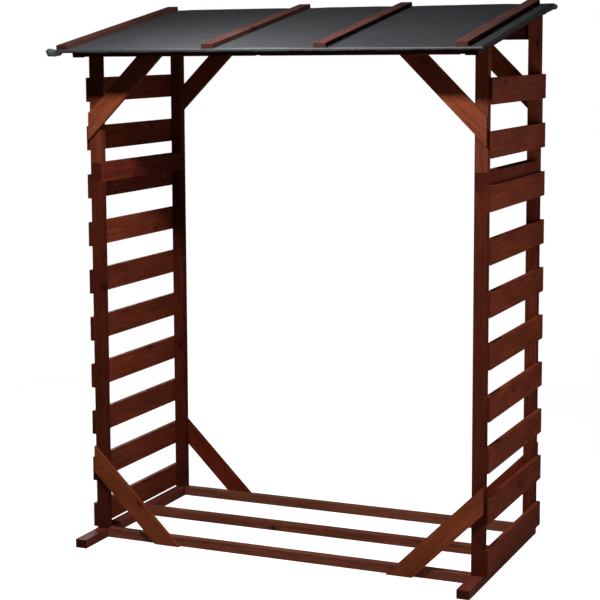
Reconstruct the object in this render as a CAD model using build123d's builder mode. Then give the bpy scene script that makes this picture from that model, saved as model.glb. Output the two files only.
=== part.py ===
from build123d import *
from math import atan2, cos, degrees, radians, sin, tan
import os

# Open firewood store: two slatted side walls, braced at front and back, under a felted pent roof.
# X runs from the left wall to the right wall, Y from front to back, Z up, in millimetres.
# The origin is on the ground, below the middle of the roof.

# Frame
store_width = 1526
store_depth = 695
front_post_top = 1842
back_post_top = 1962

# Timber sections
post_width = 45
post_depth = 33
skid_height = 32
rail_height = 33
rail_depth = 35
board_thickness = 15

# Skids
skid_overhang = 166

# Side walls
slat_count = 10
slat_height = 90
slat_gap = 90
slat_lift = 5
splice_height = 1360
splice_board_height = 70

# Braces
brace_width = 70
brace_angle = 45
front_brace_drop = 325
back_brace_drop = 397
lower_brace_head = 354

# Beams
front_beam_height = 45
back_beam_height = 118

# Roof
roof_width = 1600
front_overhang = 190
back_overhang = 15
rafter_height = 28
rafter_setback = 68
rafter_end_setback = 8
deck_thickness = 9
deck_joint = 2
felt_thickness = 3
fascia_height = 16
fascia_depth = 18
fascia_setback = 14
fascia_gap = 19
batten_width = 45
batten_height = 16
batten_setback = 6
batten_centres = (-768, -187, 232, 727)

# Places that several pieces share
roof_depth = front_overhang + store_depth + back_overhang
front_y = front_overhang - roof_depth / 2
back_y = front_y + store_depth
half_width = store_width / 2
inner_x = half_width - post_width
slope = atan2(back_post_top - front_post_top, store_depth)
slat_pitch = slat_height + slat_gap
wall_foot = skid_height + slat_lift
splice_top = splice_height + splice_board_height
sides = {"left": -1, "right": 1}
rows = {"front": front_y, "back": back_y}

# Planes of the pent roof, and where its edges lie along the slope
under_rafters = Plane(origin=(0, front_y, front_post_top)).rotated((degrees(slope), 0, 0))
on_rafters = under_rafters.offset(rafter_height)
on_deck = on_rafters.offset(deck_thickness)
on_felt = on_deck.offset(felt_thickness)
roof_height = rafter_height + deck_thickness + felt_thickness
eave = (roof_height * sin(slope) - front_overhang) / cos(slope)
ridge = (store_depth + back_overhang + rafter_height * sin(slope)) / cos(slope)


def post_line(y):
    """Height of the rafters' underside at depth y."""
    return front_post_top + (y - front_y) * tan(slope)


def deck_line(y):
    """Height of the deck's underside at depth y."""
    return post_line(y) + rafter_height / cos(slope)


def save(piece, name):
    piece.label = name
    export_step(piece, f"parts/{name}.step")


os.makedirs("parts", exist_ok=True)

# Skids: one lies under each wall and sticks out in front of its posts
for side, sign in sides.items():
    with BuildPart() as skid:
        with BuildSketch(Plane.XY):
            with Locations((sign * (inner_x + post_width / 2), (front_y - skid_overhang + back_y) / 2)):
                Rectangle(post_width, skid_overhang + store_depth)
        extrude(amount=skid_height)
    save(skid.part, f"{side}_skid")

# Floor rails: three rails lie between the skids and carry the bottom row of logs
rail_places = {
    "front": front_y + rail_depth / 2,
    "middle": (front_y + back_y) / 2,
    "back": back_y - rail_depth / 2,
}
for place, y in rail_places.items():
    with BuildPart() as rail:
        with BuildSketch(Plane.XY):
            with Locations((0, y)):
                Rectangle(2 * inner_x, rail_depth)
        extrude(amount=rail_height)
    save(rail.part, f"{place}_floor_rail")

# Posts: the lower lengths carry a splice board, the upper ones stand on it and are cut to the roof's slope
post_places = {"front": front_y, "back": back_y - post_depth}
for side, sign in sides.items():
    post_plane = Plane.YZ.offset(sign * (inner_x + post_width / 2))
    for row, near_y in post_places.items():
        far_y = near_y + post_depth
        with BuildPart() as lower_post:
            with BuildSketch(post_plane):
                with BuildLine():
                    Polyline(
                        (near_y, skid_height),
                        (far_y, skid_height),
                        (far_y, splice_height),
                        (near_y, splice_height),
                        close=True,
                    )
                make_face()
            extrude(amount=post_width / 2, both=True)
        save(lower_post.part, f"{side}_{row}_lower_post")
        with BuildPart() as upper_post:
            with BuildSketch(post_plane):
                with BuildLine():
                    Polyline(
                        (near_y, splice_top),
                        (far_y, splice_top),
                        (far_y, post_line(far_y)),
                        (near_y, post_line(near_y)),
                        close=True,
                    )
                make_face()
            extrude(amount=post_width / 2, both=True)
        save(upper_post.part, f"{side}_{row}_upper_post")

# Slats: boards on the outer faces of the posts, numbered from the ground up
for side, sign in sides.items():
    for number in range(slat_count):
        with BuildPart() as slat:
            with BuildSketch(Plane.YZ.offset(sign * (half_width + board_thickness / 2))):
                with Locations(((front_y + back_y) / 2, wall_foot + number * slat_pitch + slat_height / 2)):
                    Rectangle(store_depth, slat_height)
            extrude(amount=board_thickness / 2, both=True)
        save(slat.part, f"{side}_slat_{number + 1}")

# Splice boards: thick boards on edge, which lie across the lower posts of each wall
for side, sign in sides.items():
    with BuildPart() as splice:
        with BuildSketch(Plane.YZ.offset(sign * (inner_x + post_width / 2))):
            with Locations(((front_y + back_y) / 2, (splice_height + splice_top) / 2)):
                Rectangle(store_depth, splice_board_height)
        extrude(amount=post_width / 2, both=True)
    save(splice.part, f"{side}_splice_board")

# Beams: the front one is a square rail, the back one a deep board, and both meet the deck
beam_sections = {
    "front": (front_y, front_y + post_depth, deck_line(front_y) - front_beam_height),
    "back": (back_y - board_thickness, back_y, deck_line(back_y) - back_beam_height),
}
for row, (near_y, far_y, foot) in beam_sections.items():
    with BuildPart() as beam:
        with BuildSketch(Plane.YZ):
            with BuildLine():
                Polyline(
                    (near_y, foot),
                    (far_y, foot),
                    (far_y, deck_line(far_y)),
                    (near_y, deck_line(near_y)),
                    close=True,
                )
            make_face()
        extrude(amount=inner_x, both=True)
    save(beam.part, f"{row}_beam")

# Braces: boards across the corners, cut plumb at the posts' outer faces and level at the other end
brace_rise = tan(radians(brace_angle))
brace_cut = brace_width / cos(radians(brace_angle))
brace_tops = {"front": front_post_top, "back": back_post_top}
brace_drops = {"front": front_brace_drop, "back": back_brace_drop}
brace_sides = {"front": board_thickness, "back": -board_thickness}
for row, y in rows.items():
    top = brace_tops[row]
    foot = top - brace_drops[row]
    for side, sign in sides.items():
        with BuildPart() as upper_brace:
            with BuildSketch(Plane.XZ.offset(-y)):
                with BuildLine():
                    Polyline(
                        (sign * half_width, foot),
                        (sign * half_width, foot + brace_cut),
                        (sign * (half_width - (top - foot - brace_cut) / brace_rise), top),
                        (sign * (half_width - (top - foot) / brace_rise), top),
                        close=True,
                    )
                make_face()
            extrude(amount=brace_sides[row])
        save(upper_brace.part, f"{side}_{row}_upper_brace")
        with BuildPart() as lower_brace:
            with BuildSketch(Plane.XZ.offset(-y)):
                with BuildLine():
                    Polyline(
                        (sign * half_width, lower_brace_head),
                        (sign * half_width, lower_brace_head - brace_cut),
                        (sign * (half_width - (lower_brace_head - brace_cut) / brace_rise), 0),
                        (sign * (half_width - lower_brace_head / brace_rise), 0),
                        close=True,
                    )
                make_face()
            extrude(amount=brace_sides[row])
        save(lower_brace.part, f"{side}_{row}_lower_brace")

# Rafters: flat timbers that lie on the sloping tops of the posts
rafter_start = eave + rafter_setback
rafter_end = ridge - rafter_end_setback
for side, sign in sides.items():
    with BuildPart() as rafter:
        with BuildSketch(under_rafters):
            with Locations((sign * (inner_x + post_width / 2), (rafter_start + rafter_end) / 2)):
                Rectangle(post_width, rafter_end - rafter_start)
        extrude(amount=rafter_height)
    save(rafter.part, f"{side}_rafter")

# Roof deck: two panels that meet over the middle of the store
panel_width = (roof_width - deck_joint) / 2 - felt_thickness
for side, sign in sides.items():
    with BuildPart() as panel:
        with BuildSketch(on_rafters):
            with Locations((sign * (deck_joint + panel_width) / 2, (eave + ridge) / 2)):
                Rectangle(panel_width, ridge - eave - 2 * felt_thickness)
        extrude(amount=deck_thickness)
    save(panel.part, f"{side}_roof_panel")

# Fascia: a strip under the front edge of each panel
fascia_length = inner_x - fascia_gap / 2
fascia_middle = eave + fascia_setback + fascia_depth / 2
for side, sign in sides.items():
    with BuildPart() as fascia:
        with BuildSketch(on_rafters):
            with Locations((sign * (fascia_gap + fascia_length) / 2, fascia_middle)):
                Rectangle(fascia_length, fascia_depth)
        extrude(amount=-fascia_height)
    save(fascia.part, f"{side}_fascia")

# Roof felt: one sheet over both panels, turned down round their edges
with BuildPart() as felt:
    with BuildSketch(on_rafters):
        with Locations((0, (eave + ridge) / 2)):
            Rectangle(roof_width, ridge - eave)
    extrude(amount=deck_thickness + felt_thickness)
    with BuildSketch(on_rafters):
        with Locations((0, (eave + ridge) / 2)):
            Rectangle(roof_width - 2 * felt_thickness, ridge - eave - 2 * felt_thickness)
    extrude(amount=deck_thickness, mode=Mode.SUBTRACT)
save(felt.part, "roof_felt")

# Battens: laid down the slope, they hold the felt
for number, x in enumerate(batten_centres):
    with BuildPart() as batten:
        with BuildSketch(on_felt):
            with Locations((x, (eave + ridge) / 2)):
                Rectangle(batten_width, ridge - eave - 2 * batten_setback)
        extrude(amount=batten_height)
    save(batten.part, f"roof_batten_{number + 1}")
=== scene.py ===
import math
import random

import bmesh
import bpy
from mathutils import Matrix, Vector, noise


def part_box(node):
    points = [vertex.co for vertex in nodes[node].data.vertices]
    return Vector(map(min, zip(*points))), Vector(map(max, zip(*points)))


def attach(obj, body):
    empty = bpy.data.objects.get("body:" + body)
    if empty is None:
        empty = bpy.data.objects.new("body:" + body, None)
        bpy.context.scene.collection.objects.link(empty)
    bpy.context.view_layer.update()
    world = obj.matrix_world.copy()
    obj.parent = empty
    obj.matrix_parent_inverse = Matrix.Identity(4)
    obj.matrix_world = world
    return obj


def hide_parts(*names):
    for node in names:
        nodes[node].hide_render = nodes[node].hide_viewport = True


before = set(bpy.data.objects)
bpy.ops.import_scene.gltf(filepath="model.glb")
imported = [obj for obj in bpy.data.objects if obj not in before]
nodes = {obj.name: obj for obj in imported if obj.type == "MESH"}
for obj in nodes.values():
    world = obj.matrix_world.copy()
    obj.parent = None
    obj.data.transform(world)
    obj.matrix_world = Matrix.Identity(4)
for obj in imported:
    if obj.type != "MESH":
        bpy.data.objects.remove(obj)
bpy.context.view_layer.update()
bpy.context.scene.view_settings.view_transform = "Standard"

MM = 0.001
X, Y, Z = Vector((1, 0, 0)), Vector((0, 1, 0)), Vector((0, 0, 1))

# Places read from the frame
boxes = {name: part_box(name) for name in nodes}
centre_of = {name: (low + high) / 2 for name, (low, high) in boxes.items()}
front_face = boxes["left_front_lower_post"][0].y
back_face = boxes["left_back_lower_post"][1].y
outer_x = boxes["right_front_lower_post"][1].x
joint_z = boxes["left_front_lower_post"][1].z
board = boxes["right_slat_1"][1].x - boxes["right_slat_1"][0].x
front_top = boxes["left_front_upper_brace"][1].z
back_top = boxes["left_back_upper_brace"][1].z
slope = math.atan2(back_top - front_top, back_face - front_face)
UP_SLOPE = Vector((0, math.cos(slope), math.sin(slope)))
OFF_ROOF = Vector((0, -math.sin(slope), math.cos(slope)))


def add_object(name, data):
    """A new object in the scene."""
    piece = bpy.data.objects.new(name, data)
    bpy.context.scene.collection.objects.link(piece)
    return piece


# Camera: fitted to the edges of the posts, slats and rails in the photograph. The focal length
# and the centre of view are in its pixels, the angles in radians.
PHOTO_SIZE = 600.0
FOCAL_LENGTH = 1683.322
VIEW_CENTRE = (231.478, 253.473)
SENSOR_WIDTH = 36.0
CAMERA_PLACE = (2.375593, -5.721065, 1.857383)
YAW, PITCH, ROLL = 0.4386632, -0.1223848, -0.0089122


def make_camera():
    data = bpy.data.cameras.new("camera")
    data.sensor_width = SENSOR_WIDTH
    data.lens = FOCAL_LENGTH * SENSOR_WIDTH / PHOTO_SIZE
    data.shift_x = (PHOTO_SIZE / 2 - VIEW_CENTRE[0]) / PHOTO_SIZE
    data.shift_y = (VIEW_CENTRE[1] - PHOTO_SIZE / 2) / PHOTO_SIZE
    data.clip_start = 0.1
    data.clip_end = 100.0
    camera = add_object("camera", data)
    ahead_x = -math.sin(YAW) * math.cos(PITCH)
    ahead_y = math.cos(YAW) * math.cos(PITCH)
    ahead = Vector((ahead_x, ahead_y, math.sin(PITCH)))
    right = Vector((math.cos(YAW), math.sin(YAW), 0.0))
    up = right.cross(ahead)
    right, up = (
        right * math.cos(ROLL) + up * math.sin(ROLL),
        up * math.cos(ROLL) - right * math.sin(ROLL),
    )
    turn = Matrix((right, up, -ahead)).transposed()
    camera.matrix_world = Matrix.Translation(CAMERA_PLACE) @ turn.to_4x4()
    bpy.context.scene.camera = camera


make_camera()


# Helpers for node materials
def lin(red, green, blue):
    """A colour as it looks on screen, 0 to 255, in the renderer's linear values."""
    values = [c / 255.0 for c in (red, green, blue)]
    values = [c / 12.92 if c <= 0.04045 else ((c + 0.055) / 1.055) ** 2.4 for c in values]
    return (*values, 1.0)


def scaled(colour, red, green, blue):
    """A colour with its channels multiplied."""
    return (colour[0] * red, colour[1] * green, colour[2] * blue, 1.0)


class Shader:
    """Builds one node material."""

    def __init__(self, name):
        self.material = bpy.data.materials.new(name)
        self.material.use_nodes = True
        self.nodes = self.material.node_tree.nodes
        self.links = self.material.node_tree.links
        self.nodes.clear()

    def add(self, kind, inputs=(), **settings):
        """A new node. Each input is a value, or the socket of another node."""
        node = self.nodes.new("ShaderNode" + kind)
        for key, value in settings.items():
            setattr(node, key, value)
        for key, value in dict(inputs).items():
            if isinstance(value, bpy.types.NodeSocket):
                self.links.new(value, node.inputs[key])
            else:
                node.inputs[key].default_value = value
        return node

    def calc(self, operation, *values, clamp=False):
        inputs = dict(enumerate(values))
        return self.add("Math", inputs, operation=operation, use_clamp=clamp).outputs[0]

    def product(self, *values):
        result = values[0]
        for value in values[1:]:
            result = self.calc("MULTIPLY", result, value)
        return result

    def less(self, value, share):
        """1 where value is 0, and 1 less share where it is 1."""
        return self.calc("SUBTRACT", 1.0, self.product(value, share))

    def dot(self, vector, direction):
        inputs = {0: vector, 1: direction}
        return self.add("VectorMath", inputs, operation="DOT_PRODUCT").outputs["Value"]

    def vector(self, x, y, z):
        return self.add("CombineXYZ", {0: x, 1: y, 2: z}).outputs[0]

    def noise(self, vector, scale, detail, roughness=0.5):
        inputs = {"Vector": vector, "Scale": scale, "Detail": detail, "Roughness": roughness}
        return self.add("TexNoise", inputs).outputs[0]

    def spread(self, value, low, high, to_low=0.0, to_high=1.0):
        """A smooth step from to_low, where value is low, to to_high, where it is high."""
        inputs = {0: value, 1: low, 2: high, 3: to_low, 4: to_high}
        return self.add("MapRange", inputs, interpolation_type="SMOOTHSTEP").outputs[0]

    def ramp(self, value, *stops):
        node = self.add("ValToRGB", {0: value})
        bar = node.color_ramp
        while len(bar.elements) < len(stops):
            bar.elements.new(0.5)
        for element, (place, colour) in zip(bar.elements, stops):
            element.position = place
            element.color = colour
        return node.outputs[0]

    def mix(self, factor, first, second, blend="MIX"):
        inputs = {0: factor, 6: first, 7: second}
        return self.add("Mix", inputs, data_type="RGBA", blend_type=blend).outputs[2]

    def bump(self, height, distance, strength):
        inputs = {"Height": height, "Distance": distance, "Strength": strength}
        return self.add("Bump", inputs).outputs[0]

    def finish(self, **inputs):
        names = {key.replace("_", " "): value for key, value in inputs.items()}
        shader = self.add("BsdfPrincipled", names)
        self.add("OutputMaterial", {0: shader.outputs[0]})
        return self.material


# Stain: one red-brown coat, which took more or less on each kind of timber, with painted shade on
# the timbers under the eaves. The first key that a piece's name contains gives its colour.
STAINS_AND_EAVE_SHADE = {
    "upper_post": lin(104, 46, 28),
    "lower_post": lin(81, 30, 16),
    "splice": lin(100, 38, 24),
    "slat": lin(118, 50, 30),
    "back_lower_brace": lin(110, 40, 21),
    "lower_brace": lin(134, 63, 34),
    "upper_brace": lin(122, 57, 33),
    "front_floor_rail": lin(134, 69, 50),
    "middle_floor_rail": lin(114, 59, 40),
    "back_floor_rail": lin(124, 68, 48),
    "skid": lin(114, 53, 38),
    "batten_1": lin(64, 38, 31),
    "batten": lin(76, 47, 40),
    # The rafters, beam and fascia are darker than the rest: painted shade for the shade under the
    # eaves, over the stain
    "rafter": lin(60, 28, 20),
    "beam": lin(58, 25, 20),
    "fascia": lin(60, 30, 24),
    "panel": lin(96, 50, 34),
}

# Multiples of the stain's colour, as (red, green, blue)
PALE = (1.8, 1.95, 2.1)
DARK = (0.12, 0.09, 0.08)
KNOT_PALE = (0.5, 0.42, 0.4)
KNOT_DARK = (0.18, 0.15, 0.15)
RUBBED = (2.3, 2.6, 2.8)
# The pale colour of the painted glints, which stand in for glints of light
GLINT_COLOUR = lin(196, 170, 150)

# The pattern starts anywhere within this distance, in metres
PATTERN_SHIFT = 9

# Knots: the cells to a metre, the lots from which a cell has a knot, and in shares of a cell the
# radii of knot and halo, each as (outer edge, where it is full), and how uneven they are
CELLS_ALONG, CELLS_ACROSS = 3.6, 6.0
KNOT_LOTS = (0.5, 0.52)
KNOT_RADII = (0.075, 0.045)
HALO_RADII = (0.26, 0.03)
WOBBLE_SCALE = 60.0
KNOT_WOBBLE = 0.03
KNOT_RING_PACE = 320.0

# Annual rings: how far the pith lies from the middle of the piece, the range of the rings' scale
# and of their wander, how far knots bend them and their pace along the piece, as a share of that
# across it. A ring darkens slowly and ends sharply.
PITH_ASIDE = 0.05
PITH_BEHIND = (0.02, 0.07)
RING_SCALE = (58.0, 84.0)
RING_WANDER = (7.0, 11.0)
RING_BEND = 11.0
RING_PACE = 0.16
BLACK, GREY, WHITE = (0, 0, 0, 1), (0.2, 0.2, 0.2, 1), (1.0, 1.0, 1.0, 1.0)
RING_STOPS = [(0.0, BLACK), (0.62, GREY), (0.93, WHITE), (1.0, BLACK)]

# Marks along the grain, as (pace along as a share of the pace across, scale, detail, roughness),
# and the values between which each mark sets in
FIBRES = (0.035, 420.0, 3.0, 0.6)
STREAKS = (0.05, 90.0, 3.0, 0.6)
BLOTCHES = (0.35, 14.0, 3.0, 0.55)
PORES = (0.02, 1100.0, 1.0, 0.5)
FIBRE_RANGE = (0.3, 0.75)
STREAK_RANGE = (0.35, 0.7)
PORE_RANGE = (0.62, 0.72)
CUT_RANGE = (0.55, 0.8)

# From the darkest to the palest blotch, as (low, high, tone at low, tone at high)
BLOTCH_TONES = (0.25, 0.78, 1.1, 1.75)

# How much each kind of mark darkens the wood
LATEWOOD_SHADE = 0.38
STREAK_SHADE = 0.28
FIBRE_SHADE = 0.22
PORE_SHADE = 0.4
HALO_SHADE = 0.2

# How pale a sawn end is beside a face, on most timbers and on the battens
END_TONE = 0.3
BATTEN_END_TONE = 0.7

# How far each kind of mark stands out or sinks, as a share of the grain's depth
LATEWOOD_RELIEF = 0.35
FIBRE_RELIEF = 0.8
PORE_RELIEF = 0.5
KNOT_RELIEF = 0.6
GRAIN_DEPTH = 0.35 * MM

RELIEF_STRENGTH = 0.8

# Worn places: rubbed arrises. Then painted glints, pale marks that stand in for glints of light,
# which fade from a share of their reach to their rim
ARRIS_RADIUS = 2.5 * MM
ARRIS_RANGE = (0.02, 0.2)
ARRIS_STREAKS = (0.4, 0.62)
ARRIS_WEAR = 0.35
# Painted glints: how they fade and how strongly the pale colour is painted in
GLINT_FADE = (1.0, 0.3)
GLINT_FIBRES = (0.35, 0.6, 0.55, 1.0)
GLINT_STRENGTH = 0.7

# Roughness from the smoothest to the roughest fibre, and what a sawn end adds to it
FIBRE_ROUGHNESS = (0.2, 0.8, 0.5, 0.68)
END_ROUGHNESS = 0.15
WOOD_GLOSS = 0.06


def stain_and_shade_of(name):
    return next(colour for family, colour in STAINS_AND_EAVE_SHADE.items() if family in name)


def painted_glints(s, body, place, fibres, glints):
    """Painted glints: pale marks that stand in for glints of light, each as (middle, half width,
    half height).
    """
    for middle, wide, tall in glints:
        level = s.calc("DIVIDE", s.calc("SUBTRACT", s.dot(place, Y), middle.y), wide)
        upright = s.calc("DIVIDE", s.calc("SUBTRACT", s.dot(place, Z), middle.z), tall)
        squares = s.calc("ADD", s.product(level, level), s.product(upright, upright))
        away = s.calc("SQRT", squares)
        glint_patch = s.product(s.spread(away, *GLINT_FADE), s.spread(fibres, *GLINT_FIBRES))
        body = s.mix(s.product(glint_patch, GLINT_STRENGTH), body, GLINT_COLOUR)
    return body


def wood(name, along, across, seed, stain_and_shade, end, glints):
    """Stained softwood. Rings run round a pith line that lies beside the piece, so that faces
    show arches and ends show arcs. Knots pass through the piece, and the rings bend round them.
    """
    rng = random.Random(seed)
    s = Shader(name + "_wood")
    place = s.add("TexCoord").outputs["Object"]
    along, across = along.normalized(), across.normalized()
    through = along.cross(across)
    u = s.calc("ADD", s.dot(place, along), rng.uniform(-PATTERN_SHIFT, PATTERN_SHIFT))
    v = s.calc("ADD", s.dot(place, across), rng.uniform(-PATTERN_SHIFT, PATTERN_SHIFT))
    w = s.dot(place, through)
    grain = s.vector(u, v, w)

    def drawn_out(pace, scale, detail, roughness):
        return s.noise(s.vector(s.product(u, pace), v, w), scale, detail, roughness)

    # Knots
    cells = s.vector(s.product(u, CELLS_ALONG), s.product(v, CELLS_ACROSS), 0.0)
    spots = s.add("TexVoronoi", {"Vector": cells, "Scale": 1.0}, voronoi_dimensions="2D")
    lot = s.add("SeparateColor", {0: spots.outputs["Color"]}).outputs[0]
    kept = s.spread(lot, *KNOT_LOTS)
    wobble = s.product(s.noise(grain, WOBBLE_SCALE, 2.0), KNOT_WOBBLE)
    radius = s.calc("ADD", spots.outputs["Distance"], wobble)
    knot = s.product(s.spread(radius, *KNOT_RADII), kept)
    halo = s.product(s.spread(radius, *HALO_RADII), kept)

    # Annual rings
    pith_v = rng.uniform(-PITH_ASIDE, PITH_ASIDE)
    pith_w = rng.choice((-1, 1)) * rng.uniform(*PITH_BEHIND)
    middle_v = s.calc("SUBTRACT", s.dot(place, across), centre_of[name].dot(across) + pith_v)
    middle_w = s.calc("SUBTRACT", w, centre_of[name].dot(through) + pith_w)
    rings = s.add(
        "TexWave",
        {
            "Vector": s.vector(s.product(u, RING_PACE), middle_v, middle_w),
            "Scale": rng.uniform(*RING_SCALE),
            "Distortion": rng.uniform(*RING_WANDER),
            "Detail": 2.0,
            "Detail Scale": 0.3,
            "Phase Offset": s.product(halo, RING_BEND),
        },
        wave_type="RINGS",
        rings_direction="X",
        wave_profile="SAW",
    ).outputs["Fac"]
    late = s.ramp(rings, *RING_STOPS)

    # Fibres, streaks, blotches of stain and pores, all drawn out along the piece
    fibres = drawn_out(*FIBRES)
    streaks = drawn_out(*STREAKS)
    blotches = drawn_out(*BLOTCHES)
    pores = s.spread(drawn_out(*PORES), *PORE_RANGE)
    facing = s.add("NewGeometry").outputs["True Normal"]
    cut = s.spread(s.calc("ABSOLUTE", s.dot(facing, along)), *CUT_RANGE)

    # How pale the stained wood is, where 1 is its usual colour
    tone = s.product(
        s.less(late, LATEWOOD_SHADE),
        s.less(s.spread(streaks, *STREAK_RANGE), STREAK_SHADE),
        s.less(s.spread(fibres, *FIBRE_RANGE), FIBRE_SHADE),
        s.less(pores, PORE_SHADE),
        s.less(halo, HALO_SHADE),
        s.less(cut, 1.0 - end),
        s.spread(blotches, *BLOTCH_TONES),
    )
    share = s.calc("MULTIPLY", tone, 0.5, clamp=True)
    body = s.mix(share, scaled(stain_and_shade, *DARK), scaled(stain_and_shade, *PALE))

    # Knots are dark, with rings of their own
    own_rings = s.spread(s.calc("SINE", s.product(radius, KNOT_RING_PACE)), -1.0, 1.0)
    knot_wood = s.mix(own_rings, scaled(stain_and_shade, *KNOT_PALE), scaled(stain_and_shade, *KNOT_DARK))
    body = s.mix(knot, body, knot_wood)

    # Rubbed arrises
    round_normal = s.add("Bevel", {"Radius": ARRIS_RADIUS}, samples=4).outputs[0]
    turned = s.calc("SUBTRACT", 1.0, s.dot(round_normal, facing))
    rubbed = s.product(s.spread(turned, *ARRIS_RANGE), s.spread(streaks, *ARRIS_STREAKS))
    body = s.mix(s.product(rubbed, ARRIS_WEAR), body, scaled(stain_and_shade, *RUBBED))
    # Painted glints: pale marks for glints of light on one slat
    body = painted_glints(s, body, place, fibres, glints)

    rough = s.calc("ADD", s.spread(fibres, *FIBRE_ROUGHNESS), s.product(cut, END_ROUGHNESS))
    relief = s.calc("ADD", s.product(late, LATEWOOD_RELIEF), s.product(fibres, FIBRE_RELIEF))
    relief = s.calc("SUBTRACT", relief, s.product(pores, PORE_RELIEF))
    relief = s.calc("ADD", relief, s.product(knot, KNOT_RELIEF))
    normal = s.bump(relief, GRAIN_DEPTH, RELIEF_STRENGTH)
    return s.finish(
        Base_Color=body,
        Roughness=rough,
        Specular_IOR_Level=WOOD_GLOSS,
        Normal=normal,
    )


def directions(name):
    """The directions of a timber's length and width."""
    if "brace" in name:
        sign = -1 if name.startswith("left") else 1
        rise = -1 if "lower" in name else 1
        return Vector((-sign, 0, rise)), Vector((sign * rise, 0, 1))
    if "post" in name:
        return Z, X
    if "slat" in name or "splice" in name:
        return Y, Z
    if "skid" in name:
        return Y, X
    if "rafter" in name or "roof" in name:
        return UP_SLOPE, X
    return X, Z


# Two painted glints, pale marks that stand in for glints of light, on the inner face of the
# eighth slat on the left
SLAT_GLINTS = [
    (Vector((0, front_face + 198 * MM, joint_z - 24 * MM)), 4 * MM, 12 * MM),
    (Vector((0, front_face + 597 * MM, joint_z - 21 * MM)), 5 * MM, 16 * MM),
]

# Seeds of the random draws. The coat differs a little from one timber to the next.
WOOD_SEED = 100
COAT_SEED = 500
COAT_RANGE = (0.9, 1.1)
EASE_WIDTH = 1.2 * MM

# Each timber keeps its shape from the frame, with its arrises eased
for number, (name, piece) in enumerate(sorted(nodes.items())):
    if name == "roof_felt":
        continue
    along, across = directions(name)
    tune = random.Random(COAT_SEED + number).uniform(*COAT_RANGE)
    stain_and_shade = scaled(stain_and_shade_of(name), tune, tune, tune)
    end = BATTEN_END_TONE if "batten" in name else END_TONE
    # Only the eighth slat on the left gets the painted glints
    glints = SLAT_GLINTS if name == "left_slat_8" else ()
    piece.data.materials.clear()
    piece.data.materials.append(wood(name, along, across, WOOD_SEED + number, stain_and_shade, end, glints))
    ease = piece.modifiers.new("ease", "BEVEL")
    ease.width = EASE_WIDTH
    ease.segments = 2
    ease.limit_method = "ANGLE"

# Grit of the mineral felt, from its darkest grains to its palest
FELT_COLOURS = [(0.0, lin(24, 25, 27)), (0.5, lin(39, 40, 43)), (1.0, lin(58, 59, 62))]
GRIT_SCALE = 620.0
GRIT_DEPTH = 0.6 * MM
GRIT_ROUGHNESS = (0.0, 1.0, 0.5, 0.62)

# Its wear and the runs down the slope, as (scale, detail, roughness), and how they shade it, as
# (low, high, shade at low, shade at high)
WEAR = (7.0, 4.0, 0.6)
WEAR_SHADE = (0.3, 0.75, 0.88, 1.08)
RUNS = (34.0, 3.0, 0.55)
RUNS_SHADE = (0.3, 0.75, 0.94, 1.05)
RUNS_PACE = 0.12


def felt_material():
    s = Shader("mineral_felt")
    place = s.add("TexCoord").outputs["Object"]
    grit = s.add("TexVoronoi", {"Vector": place, "Scale": GRIT_SCALE})
    speck = s.add("SeparateColor", {0: grit.outputs["Color"]}).outputs[0]
    wear = s.spread(s.noise(place, *WEAR), *WEAR_SHADE)
    down_roof = s.vector(s.dot(place, X), s.product(s.dot(place, Y), RUNS_PACE), 0.0)
    runs = s.spread(s.noise(down_roof, *RUNS), *RUNS_SHADE)
    shade = s.product(wear, runs)
    shades = s.add("CombineColor", {0: shade, 1: shade, 2: shade}).outputs[0]
    body = s.mix(1.0, s.ramp(speck, *FELT_COLOURS), shades, "MULTIPLY")
    rough = s.spread(speck, *GRIT_ROUGHNESS)
    normal = s.bump(grit.outputs["Distance"], GRIT_DEPTH, 0.7)
    return s.finish(Base_Color=body, Roughness=rough, Specular_IOR_Level=0.5, Normal=normal)


# Felt: one sheet over both panels. It takes the place of the frame's plain felt, which is a cap
# over the deck. Below, x is the place across the roof, run the way up the slope from the front
# edge, and lift the height over the sheet's top. Laid flat, the sheet is longer and wider than
# the roof by its two hems.
CAP_DEPTH = 12.0 * MM
FELT_THICK = 3.0 * MM
FELT_PITCH = 11 * MM
FOLD_RADIUS = 5.0 * MM
FOLD_STEPS = 10
LEAST_HEM = 0.5 * MM
felt_low, felt_high = boxes["roof_felt"]
half_roof = felt_high.x
roof_front = Vector((0, felt_low.y, felt_low.z + CAP_DEPTH * math.cos(slope)))
roof_run = (felt_high.y - felt_low.y - CAP_DEPTH * math.sin(slope)) / math.cos(slope)
batten_x = [centre_of[name].x for name in sorted(nodes) if "batten" in name]

# How far the sheet hangs down along each edge, in millimetres, as (place, depth) from end to end
FRONT_HANG = [
    (-0.800, 24),
    (-0.775, 21),
    (-0.757, 9),
    (-0.735, 9),
    (-0.6, 11),
    (0.2, 10),
    (0.6, 9),
    (0.800, 8),
]
BACK_HANG = [(-0.800, 14), (-0.4, 17), (0.1, 14), (0.5, 18), (0.800, 22)]
LEFT_HANG = [(0.0, 24), (0.045, 15), (0.3, 12), (0.6, 14), (0.9113, 14)]
RIGHT_HANG = [
    (0.0, 9),
    (0.03, 8),
    (0.15, 9),
    (0.45, 11),
    (0.68, 14),
    (0.80, 21),
    (0.9113, 22),
]

# Waves of the hem, as (height in millimetres, pace, multiple of the edge's phase)
HEM_WAVES = [(0.7, 27, 1), (0.5, 71, 2)]
SIDE_PHASE, END_PHASE = 1.3, 0.4


def between(points, place):
    """The value at a place, read smoothly from a list of (place, value)."""
    for (here, low), (there, high) in zip(points, points[1:]):
        if place <= there:
            share = min(max((place - here) / (there - here), 0.0), 1.0)
            return low + (high - low) * share * share * (3 - 2 * share)
    return points[-1][1]


def hang(points, place, phase):
    """How far the sheet hangs down at a place along an edge."""
    wave = sum(high * math.sin(place * pace + times * phase) for high, pace, times in HEM_WAVES)
    return (between(points, place) + wave) * MM


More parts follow.
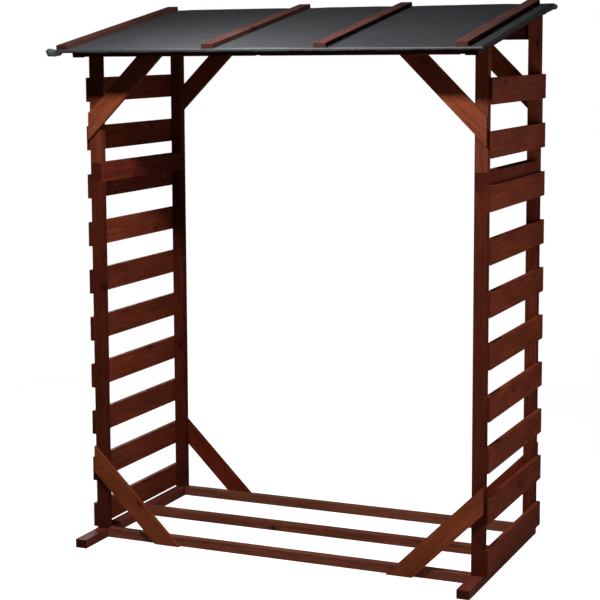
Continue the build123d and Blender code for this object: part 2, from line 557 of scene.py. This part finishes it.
def edge_steps(reach, pitch):
    """Places along one way of the sheet: below 0 and over 1 are shares of the hanging edges."""
    count = round(2 * (reach - FOLD_RADIUS) / pitch)
    flat = [i / count for i in range(count + 1)]
    folds = [k / FOLD_STEPS for k in range(1, FOLD_STEPS + 1)]
    return [-fold for fold in reversed(folds)] + flat + [1 + fold for fold in folds]


def over_edge(share, depth):
    """How far out and down the sheet lies at a share of its hanging length."""
    arc = FOLD_RADIUS * math.pi / 2
    length = share * (arc + max(depth - FOLD_RADIUS, LEAST_HEM))
    if length < arc:
        turn = length / FOLD_RADIUS
        return FOLD_RADIUS * math.sin(turn), FOLD_RADIUS * (1 - math.cos(turn))
    return FOLD_RADIUS, FOLD_RADIUS + length - arc


# The folded corners: where each ear points, how much it puffs out and how high it humps. An ear
# has its full shape from some way along the corner, and bends back a little at its point.
EARS = {
    (-1, -1): (Vector((-27, -4, 0)) * MM, 8 * MM, 14 * MM),
    (1, -1): (Vector((1, -1, 0)) * MM, 2 * MM, 0.0),
    (-1, 1): (Vector((-4, 3, 0)) * MM, 2 * MM, 2 * MM),
    (1, 1): (Vector((9, 2, -3)) * MM, 5 * MM, 3 * MM),
}
EAR_RISE = 1.2
EAR_BEND = 0.25
ROLL_TURN = math.radians(150)


def rolled(share, depth):
    """How far out and down the rolled hem of a corner lies at a share of its length."""
    turn = share * ROLL_TURN
    return depth / 2 * math.sin(turn), depth / 2 * (1 - math.cos(turn))


def ear_point(side, end, over_x, over_run, depth):
    """How far out and down a point of a folded corner lies, and its ear's push and swell."""
    way, puff, hump = EARS[(side, end)]
    point, total = min(over_x, over_run), max(over_x, over_run)
    shape = math.sin(min(point * EAR_RISE, 1.0) * math.pi / 2)
    flat_out, flat_down = over_edge(total, depth)
    roll_out, roll_down = rolled(total, depth)
    out = flat_out + (roll_out - flat_out) * shape
    down = flat_down + (roll_down - flat_down) * shape
    push = way * shape * (1 - EAR_BEND * point) + Z * hump * 4 * point * (1 - total)
    layer = side * end if over_x > over_run else -side * end
    across = Vector((way.y, -way.x, 0)).normalized() * layer
    spread = min(2 * abs(over_x - over_run), 1.0)
    swell = across * puff * math.sin(spread * math.pi / 2) * shape
    return out, down, push, swell


# Beside a batten the felt lies flat, as far as the first distance from the batten's middle, and
# over the second distance it grows loose. The heights of its ripples are in millimetres.
FLAT_REACH = 24 * MM
GROWING_REACH = 80 * MM
SWELL_HEIGHT = 2.4
FINE_HEIGHT = 0.35


def ripple(x, run):
    """The felt lies a little loose between the battens."""
    clear = min(abs(x - b) for b in batten_x)
    loose = min(max((clear - FLAT_REACH) / GROWING_REACH, 0.0), 1.0)
    swell = 0.5 + 0.5 * noise.noise(Vector((x * 5.0, run * 3.2, 3.7)))
    fine = noise.noise(Vector((x * 17.0, run * 11.0, 9.1)))
    return loose * max(SWELL_HEIGHT * swell + FINE_HEIGHT * fine, 0.0) * MM


def past_edge(share):
    """Which edge a share of the sheet lies past, as -1, 0 or 1, and how far."""
    if share < 0:
        return -1, -share
    if share > 1:
        return 1, share - 1
    return 0, 0.0


def felt_point(a, b):
    """A point of the sheet, at shares a across the roof and b up its slope."""
    side, over_x = past_edge(a)
    end, over_run = past_edge(b)
    x = (min(max(a, 0.0), 1.0) * 2 - 1) * (half_roof - FOLD_RADIUS)
    run = FOLD_RADIUS + min(max(b, 0.0), 1.0) * (roof_run - 2 * FOLD_RADIUS)
    lift = 0.0 if side or end else ripple(x, run)
    depth_x = hang(LEFT_HANG if side < 0 else RIGHT_HANG, run, SIDE_PHASE) if side else 0.0
    depth_run = hang(FRONT_HANG if end < 0 else BACK_HANG, x, END_PHASE) if end else 0.0
    if side and end:
        depth = (depth_x + depth_run) / 2
        out, down, push, swell = ear_point(side, end, over_x, over_run, depth)
        total = max(over_x, over_run)
        x += side * out * over_x / total
        run += end * out * over_run / total
    else:
        out_x, down_x = over_edge(over_x, depth_x) if side else (0.0, 0.0)
        out_run, down_run = over_edge(over_run, depth_run) if end else (0.0, 0.0)
        x += side * out_x
        run += end * out_run
        down = down_x + down_run
        push = swell = Vector((0, 0, 0))
    return roof_front + X * x + UP_SLOPE * run + OFF_ROOF * (lift - down) + push + swell


def make_felt():
    columns = edge_steps(half_roof, FELT_PITCH)
    rows = edge_steps(roof_run / 2, FELT_PITCH)
    mesh = bpy.data.meshes.new("felt_sheet")
    points = [felt_point(a, b) for b in rows for a in columns]
    wide = len(columns)
    faces = [
        (j * wide + i, j * wide + i + 1, (j + 1) * wide + i + 1, (j + 1) * wide + i)
        for j in range(len(rows) - 1)
        for i in range(wide - 1)
    ]
    mesh.from_pydata(points, [], faces)
    mesh.polygons.foreach_set("use_smooth", [True] * len(faces))
    sheet = add_object("felt_sheet", mesh)
    solid = sheet.modifiers.new("thickness", "SOLIDIFY")
    solid.thickness = FELT_THICK
    solid.offset = -1.0
    mesh.materials.append(felt_material())
    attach(sheet, "root")
    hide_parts("roof_felt")


make_felt()


# Fixings
def steel_material():
    s = Shader("screw_steel")
    place = s.add("TexCoord").outputs["Object"]
    stains = s.noise(place, 260.0, 3.0, 0.6)
    fine = s.noise(place, 2400.0, 2.0)
    body = s.mix(s.spread(stains, 0.4, 0.7), lin(132, 116, 96), lin(84, 62, 46))
    rough = s.spread(stains, 0.3, 0.75, 0.32, 0.6)
    normal = s.bump(fine, 0.08 * MM, 0.6)
    return s.finish(Base_Color=body, Metallic=1.0, Roughness=rough, Normal=normal)


steel = steel_material()

SCREW_RADIUS = 4.2 * MM
NAIL_RADIUS = 3.2 * MM

# Half the length and half the width of each arm of a cross recess, as shares of the head's radius
CROSS_REACH = 0.56
CROSS_HALF_WIDTH = 0.13


def head_rings(radius):
    """The rings of a countersunk head with a cross recess, each as (radius by angle, height)."""
    arm, half = CROSS_REACH * radius, CROSS_HALF_WIDTH * radius
    notch = math.atan2(half, arm)
    quarter = [0.0, notch, (notch + math.pi / 4) / 2, math.pi / 4]
    quarter += [math.pi / 2 - angle for angle in reversed(quarter[1:3])]
    angles = [k * math.pi / 2 + angle for k in range(4) for angle in quarter]
    cross = []
    for angle in angles:
        aside = angle % (math.pi / 2)
        aside = min(aside, math.pi / 2 - aside)
        cross.append(arm / math.cos(aside) if aside <= notch + 1e-6 else half / math.sin(aside))
    full = [radius] * len(angles)

    # From the rim, sunk in the timber, over the head's crown to the floor of the recess
    rings = [
        (full, -0.4 * MM),
        (full, 0.15 * MM),
        ([radius * 0.9] * len(angles), 0.45 * MM),
        ([radius * 0.72] * len(angles), 0.55 * MM),
        (cross, 0.55 * MM),
        ([0.8 * c for c in cross], -0.7 * MM),
    ]
    return angles, rings


def screws(name, radius, places):
    """Screw heads, one at each (point, way out)."""
    rng = random.Random(len(places))
    angles, rings = head_rings(radius)
    mesh = bmesh.new()
    for point, out in places:
        turn = rng.uniform(0, math.pi)
        facing = out.to_track_quat("Z", "Y").to_matrix().to_4x4()
        seat = Matrix.Translation(point) @ facing @ Matrix.Rotation(turn, 4, "Z")
        loops = []
        for radii, height in rings:
            around = zip(radii, angles)
            ring = [Vector((r * math.cos(a), r * math.sin(a), height)) for r, a in around]
            loops.append([mesh.verts.new(seat @ spot) for spot in ring])
        for outer, inner in zip(loops, loops[1:]):
            for k in range(len(angles)):
                after = (k + 1) % len(angles)
                mesh.faces.new((outer[k], outer[after], inner[after], inner[k]))
        mesh.faces.new(loops[-1])
    data = bpy.data.meshes.new(name)
    mesh.to_mesh(data)
    mesh.free()
    data.materials.append(steel)
    piece = add_object(name, data)
    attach(piece, "root")


def on_walls():
    """Two screws through each slat into each post."""
    from_face, from_edge = 17 * MM, 22 * MM
    places = []
    for name, (low, high) in sorted(boxes.items()):
        if "slat" not in name:
            continue
        sign = -1 if name.startswith("left") else 1
        face = low.x if sign < 0 else high.x
        for y in (front_face + from_face, back_face - from_face):
            for z in (low.z + from_edge, high.z - from_edge):
                places.append((Vector((face, y, z)), X * sign))
    return places


def on_braces():
    """Two screws at each end of each brace, through its outer face."""
    rows = {
        "front": (front_face - board, front_top, -Y),
        "back": (back_face + board, back_top, Y),
    }
    places = []
    for sign in (-1, 1):
        for row, (y, top, out) in rows.items():
            head = boxes[f"left_{row}_lower_brace"][1].z
            foot = boxes[f"left_{row}_upper_brace"][0].z
            on_post = outer_x - 22 * MM
            floor_end = outer_x - head
            roof_end = outer_x - (top - foot)
            spots = [
                (on_post, head - 42 * MM),
                (on_post + 4 * MM, head - 84 * MM),
                (on_post, foot + 50 * MM),
                (on_post + 4 * MM, foot + 92 * MM),
                (floor_end + 50 * MM, 16 * MM),
                (floor_end + 88 * MM, 20 * MM),
                (roof_end + 30 * MM, top - 9 * MM),
                (roof_end + 70 * MM, top - 10 * MM),
            ]
            places += [(Vector((sign * x, y, z)), out) for x, z in spots]
    return places


def on_battens():
    """Nails down the middle of each batten, which stray a little from side to side."""
    count, margin, stray, height = 5, 60 * MM, 3 * MM, 16 * MM
    places = []
    for x in batten_x:
        for k in range(count):
            run = margin + k * (roof_run - 2 * margin) / (count - 1)
            point = roof_front + X * (x + stray * math.sin(9 * k + x)) + UP_SLOPE * run
            places.append((point + OFF_ROOF * height, OFF_ROOF))
    return places


def on_skids():
    """Two screws through the skids' outer faces into each end of each floor rail."""
    aside = 8 * MM
    places = []
    for sign in (-1, 1):
        for rail in ("front", "middle", "back"):
            centre = centre_of[f"{rail}_floor_rail"]
            for step in (-aside, aside):
                places.append((Vector((sign * outer_x, centre.y + step, centre.z)), X * sign))
    return places


screws("slat_screws", SCREW_RADIUS, on_walls())
screws("brace_screws", SCREW_RADIUS, on_braces())
screws("batten_nails", NAIL_RADIUS, on_battens())
screws("skid_screws", SCREW_RADIUS, on_skids())

# Stage: the floor is grey to the light that falls on it. The camera sees it glow, with the
# object's shadow over the glow nearby and plain white farther off.
FLOOR_RADIUS = 14.0
FLOOR_GREY = (0.45, 0.45, 0.45, 1.0)
VEIL_GREY = (0.5, 0.5, 0.5, 1.0)
FLOOR_GLOW = 0.93
NEAR_REACH, FAR_REACH = 1.6, 4.0
ROOM_LIGHT = 0.03


def make_stage():
    bpy.ops.mesh.primitive_circle_add(
        vertices=96, radius=FLOOR_RADIUS, fill_type="NGON", location=(0, 0, 0)
    )
    floor = bpy.context.object
    floor.name = "floor"
    s = Shader("floor_paint")
    seen = s.add("LightPath").outputs["Is Camera Ray"]
    place = s.add("TexCoord").outputs["Object"]
    reach = s.add("VectorMath", {0: place}, operation="LENGTH").outputs["Value"]
    far = s.spread(reach, NEAR_REACH, FAR_REACH)
    paint = s.add("BsdfDiffuse", {"Color": FLOOR_GREY}).outputs[0]
    glow = s.add("Emission", {"Color": WHITE, "Strength": FLOOR_GLOW}).outputs[0]
    veil = s.add("BsdfDiffuse", {"Color": VEIL_GREY}).outputs[0]
    near = s.add("AddShader", {0: veil, 1: glow}).outputs[0]
    white = s.add("Emission", {"Color": WHITE, "Strength": 1.0}).outputs[0]
    shown = s.add("MixShader", {0: far, 1: near, 2: white}).outputs[0]
    both = s.add("MixShader", {0: seen, 1: paint, 2: shown}).outputs[0]
    s.add("OutputMaterial", {0: both})
    floor.data.materials.append(s.material)


make_stage()


def make_world():
    """White behind the object, and dim light from all round."""
    world = bpy.data.worlds.new("world")
    bpy.context.scene.world = world
    world.use_nodes = True
    tree = world.node_tree
    tree.nodes.clear()
    seen = tree.nodes.new("ShaderNodeLightPath")
    strength = tree.nodes.new("ShaderNodeMapRange")
    strength.inputs["To Min"].default_value = ROOM_LIGHT
    strength.inputs["To Max"].default_value = 1.0
    tree.links.new(seen.outputs["Is Camera Ray"], strength.inputs["Value"])
    back = tree.nodes.new("ShaderNodeBackground")
    back.inputs["Color"].default_value = WHITE
    tree.links.new(strength.outputs[0], back.inputs["Strength"])
    output = tree.nodes.new("ShaderNodeOutputWorld")
    tree.links.new(back.outputs[0], output.inputs[0])


make_world()


def lamp(name, place, target, width, height, power):
    data = bpy.data.lights.new(name, "AREA")
    data.shape = "RECTANGLE"
    data.size = width
    data.size_y = height
    data.energy = power
    light = add_object(name, data)
    ahead = Vector(target) - Vector(place)
    light.rotation_mode = "QUATERNION"
    light.rotation_quaternion = ahead.to_track_quat("-Z", "Y")
    light.location = place


# Lamps, each as place, target, width, height and power: the key in front and above, one beside
# the right wall, one over the roof and two behind
lamp("key", (0.15, -1.5, 2.82), (0.0, 0.0, 1.2), 0.16, 0.16, 62.0)
lamp("side", (1.8, -0.6, 1.1), (1.5, 0.354, 1.1), 0.4, 1.2, 12.0)
lamp("roof", (-0.3, -0.42, 2.5), (-0.3, -0.42, 1.9), 0.3, 0.15, 8.0)
lamp("back", (2.2, 1.8, 1.6), (0.0, 0.0, 1.1), 0.8, 0.6, 1.5)
lamp("back_left", (-2.4, 2.2, 1.0), (0.0, 0.0, 0.9), 0.8, 0.8, 24.0)
